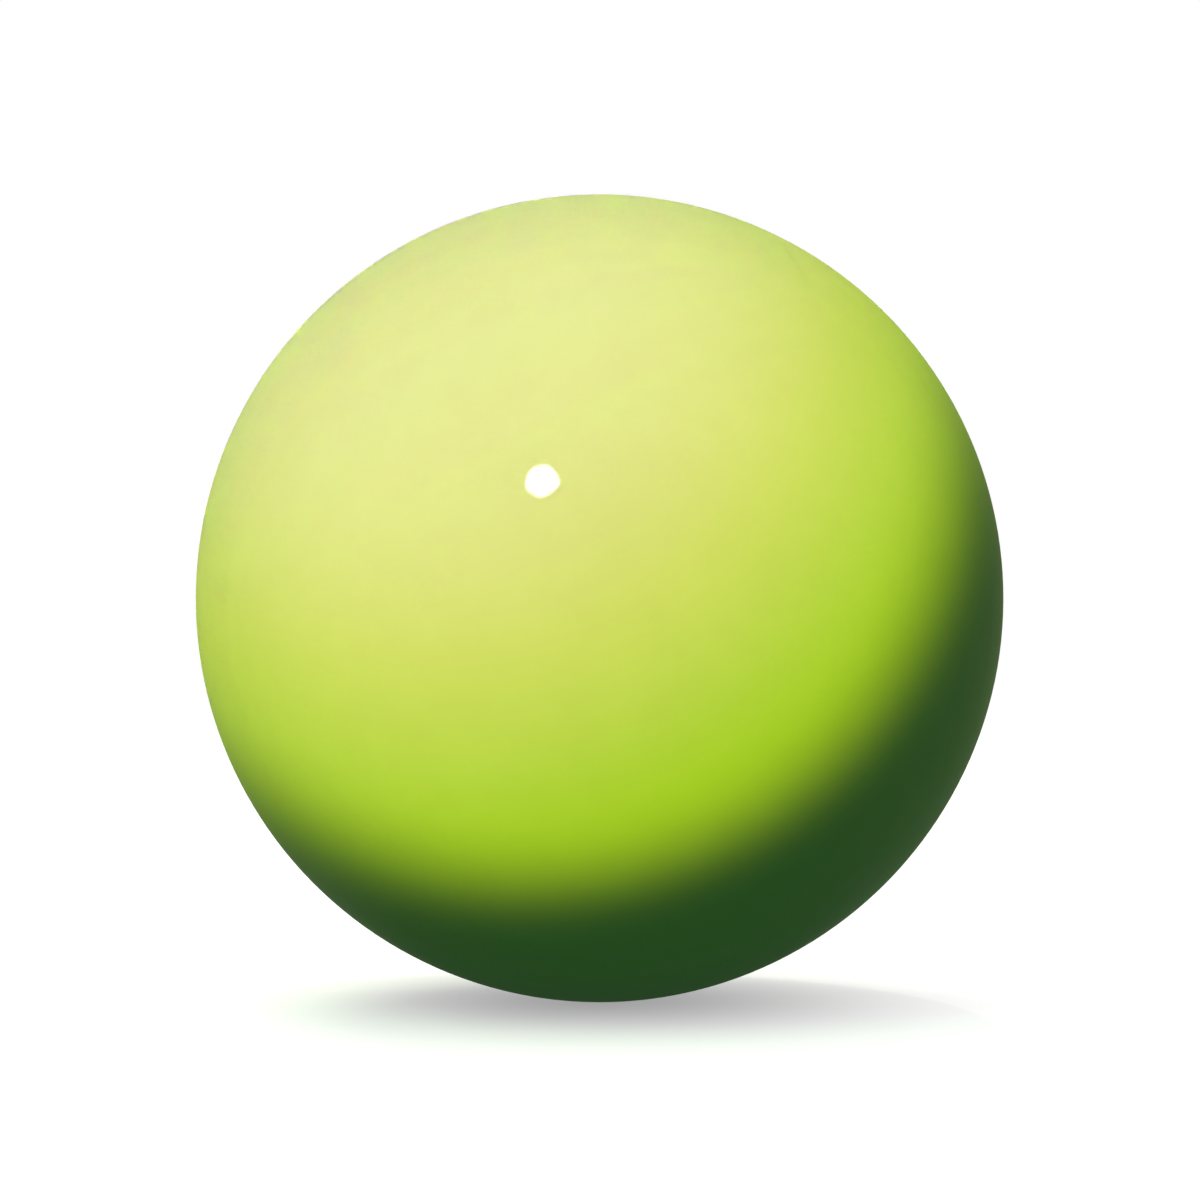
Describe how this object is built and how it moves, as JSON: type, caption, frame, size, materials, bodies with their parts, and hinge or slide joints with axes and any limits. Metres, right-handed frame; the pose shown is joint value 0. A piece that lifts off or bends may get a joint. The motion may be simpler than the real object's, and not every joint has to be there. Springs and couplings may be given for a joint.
{
  "type": "rhythmic gymnastics ball",
  "caption": "Seamless glossy lime-green rubber ball, hand-apparatus size, with an airtight inner layer and a flush inflation valve closed by a pull-out stopper.",
  "frame": {"origin": "centre of the ball", "axes": "+Z along the valve's axis, out of the ball, and up when the ball rests on the pole opposite the valve; +X towards the scoop beside the stopper"},
  "size_m": [0.185, 0.185, 0.1847],
  "materials": {
    "lime_skin": "polished lime-green rubber with a clear gloss",
    "black_bladder": "matt black butyl rubber",
    "valve_rubber": "satin moulded lime-green rubber",
    "patch_rubber": "matt dark grey rubber",
    "stopper": "satin off-white moulded plastic"
  },
  "bodies": {
    "ball": {"outer_skin": "lime_skin", "inner_bladder": "black_bladder", "valve_seat": "valve_rubber", "valve_patch": "patch_rubber"},
    "stopper": {"valve_plug": "stopper"}
  },
  "joints": [
    {"name": "valve_plug_slide", "type": "slide", "parent": "ball", "child": "stopper", "axis": [0, 0, 1], "range_m": [0, 0.02]}
  ]
}
